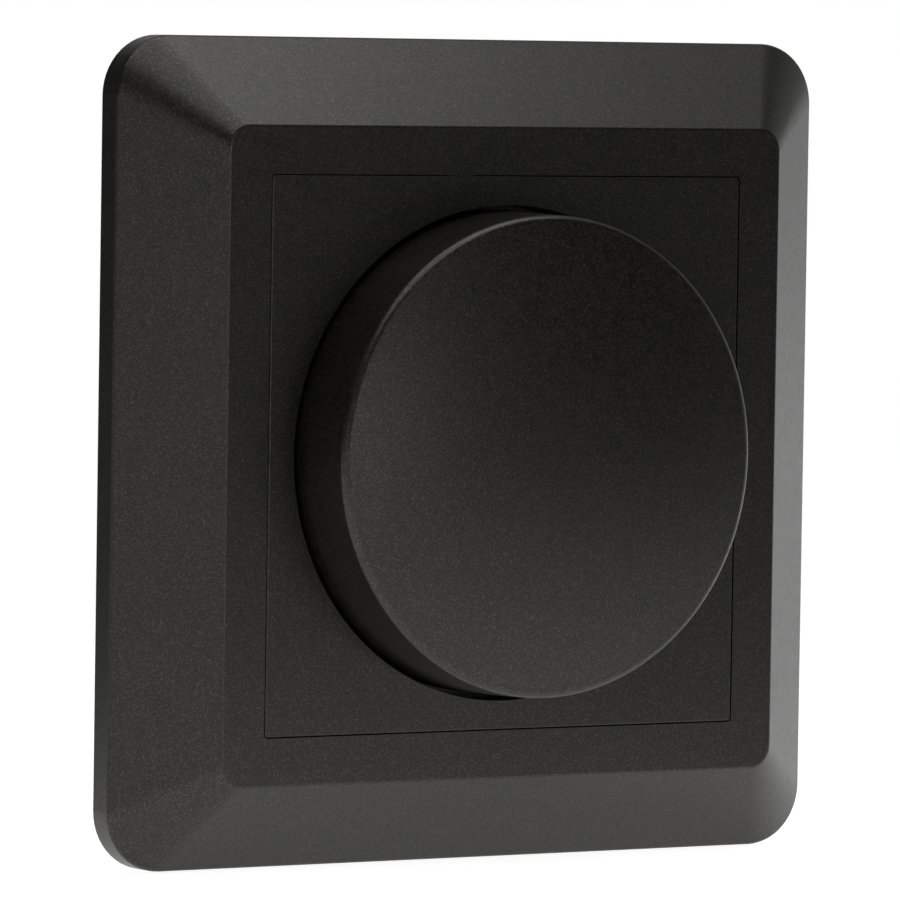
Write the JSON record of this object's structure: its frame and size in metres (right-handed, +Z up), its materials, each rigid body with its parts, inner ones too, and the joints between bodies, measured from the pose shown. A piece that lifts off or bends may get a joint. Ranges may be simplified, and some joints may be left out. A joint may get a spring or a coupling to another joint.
{
  "type": "rotary dimmer switch",
  "caption": "Flush-mounted rotary dimmer: bevelled square cover frame, square centre plate and a large round push dial on a boxed insert with a slotted support plate.",
  "frame": {"origin": "on the dial's axis, at the back of the support plate, which is the face of the wall", "axes": "+X to the right, +Y into the wall, +Z up; the front of the dial faces -Y"},
  "size_m": [0.082, 0.0434, 0.082],
  "materials": {
    "anthracite": "satin moulded plastic with a fine metallic fleck",
    "spring_steel": "bright drawn",
    "nickel": "nickel plated",
    "zinc_steel": "zinc plated sheet",
    "case_grey": "moulded, matt",
    "board_green": "lacquered board",
    "die_cast": "die cast",
    "white_plastic": "moulded",
    "spring_brass": "rolled sheet",
    "resin_brown": "pressed resin",
    "black_plastic": "moulded",
    "blue_plastic": "moulded",
    "ferrite": "sintered",
    "enamel_wire": "enamelled copper",
    "film_yellow": "cast resin box",
    "resistor_body": "lacquered",
    "aluminium": "sheet",
    "fuse_glass": "clear",
    "brass": "machined"
  },
  "bodies": {
    "root": {"cover_frame": "anthracite", "centre_plate": "anthracite", "bush_nut": "nickel", "bush_washer": "zinc_steel", "support_plate": "zinc_steel", "housing_lid": "case_grey", "housing_base": "case_grey", "housing_screws": "zinc_steel", "circuit_board": "board_green", "control_bush": "die_cast", "control_case": "die_cast", "track_disc": "resin_brown", "switch_case": "black_plastic", "switch_contacts": "spring_brass", "trim_body": "blue_plastic", "choke_core": "ferrite", "choke_winding": "enamel_wire", "film_capacitor": "film_yellow", "timing_capacitor": "film_yellow", "resistors": "resistor_body", "heat_plate": "aluminium", "triac": "black_plastic", "triac_screw": "zinc_steel", "fuse_tube": "fuse_glass", "fuse_caps": "nickel", "fuse_clips": "spring_brass", "terminal_block": "black_plastic", "terminal_cages": "brass", "terminal_screws": "zinc_steel"},
    "push_carriage": {"switch_plunger": "white_plastic", "contact_bridge": "spring_brass", "return_spring": "spring_steel"},
    "dial": {"dial_knob": "anthracite", "knob_clip": "spring_steel", "control_shaft": "nickel"},
    "wiper_rotor": {"rotor_disc": "white_plastic", "wiper": "spring_brass"},
    "trimmer": {"trim_rotor": "white_plastic"}
  },
  "joints": [
    {"name": "dial_push", "type": "slide", "parent": "root", "child": "push_carriage", "axis": [0, 1, 0], "range_m": [0, 0.0012], "stiffness_N_per_m": 600, "springref_m": -0.006, "deforming": ["return_spring"]},
    {"name": "dial_turn", "type": "hinge", "parent": "push_carriage", "child": "dial", "pos_m": [0, 0, 0], "axis": [0, 1, 0], "range_deg": [0, 290]},
    {"name": "rotor_turn", "type": "hinge", "parent": "root", "child": "wiper_rotor", "pos_m": [0, 0, 0], "axis": [0, 1, 0], "range_deg": [0, 290]},
    {"name": "trimmer_turn", "type": "hinge", "parent": "root", "child": "trimmer", "pos_m": [0.011, 0, 0.012], "axis": [0, 1, 0], "range_deg": [0, 240]}
  ],
  "couplings": [
    {"joint": "rotor_turn", "follows": "dial_turn", "ratio": 1}
  ]
}
